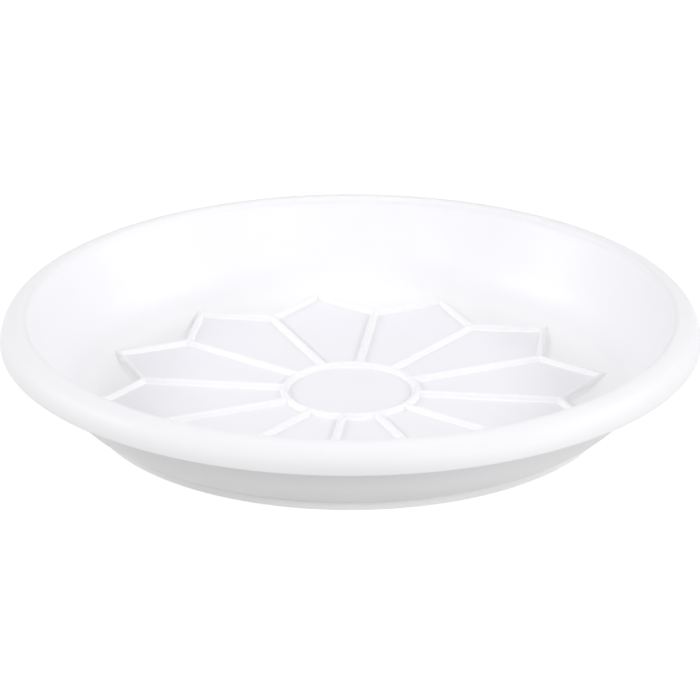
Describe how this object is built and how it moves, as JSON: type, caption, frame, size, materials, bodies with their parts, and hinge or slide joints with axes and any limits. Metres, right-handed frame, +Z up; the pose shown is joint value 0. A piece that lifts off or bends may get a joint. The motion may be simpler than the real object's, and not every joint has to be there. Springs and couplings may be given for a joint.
{
  "type": "plant saucer",
  "caption": "Round moulded plastic plant saucer with a flared wall, broad rolled rim, low foot ring and a flower of raised drainage ribs that lifts a pot off the floor.",
  "frame": {"origin": "centre of the plane that the foot ring rests on", "axes": "+Z up along the axis of the dish; +X lies between two radial ribs' directions, with the first radial rib 23 degrees from it"},
  "size_m": [0.28, 0.28, 0.0404],
  "materials": {
    "white_plastic": "satin white moulded polypropylene"
  },
  "bodies": {
    "root": {"floor_plate": "white_plastic", "heel_bend": "white_plastic", "side_wall": "white_plastic", "rolled_rim": "white_plastic", "foot_ring": "white_plastic", "centre_ring": "white_plastic", "radial_rib_01": "white_plastic", "radial_rib_02": "white_plastic", "radial_rib_03": "white_plastic", "radial_rib_04": "white_plastic", "radial_rib_05": "white_plastic", "radial_rib_06": "white_plastic", "radial_rib_07": "white_plastic", "radial_rib_08": "white_plastic", "radial_rib_09": "white_plastic", "radial_rib_10": "white_plastic", "radial_rib_11": "white_plastic", "radial_rib_12": "white_plastic", "petal_rib_01": "white_plastic", "petal_rib_02": "white_plastic", "petal_rib_03": "white_plastic", "petal_rib_04": "white_plastic", "petal_rib_05": "white_plastic", "petal_rib_06": "white_plastic", "petal_rib_07": "white_plastic", "petal_rib_08": "white_plastic", "petal_rib_09": "white_plastic", "petal_rib_10": "white_plastic", "petal_rib_11": "white_plastic", "petal_rib_12": "white_plastic"}
  },
  "joints": []
}
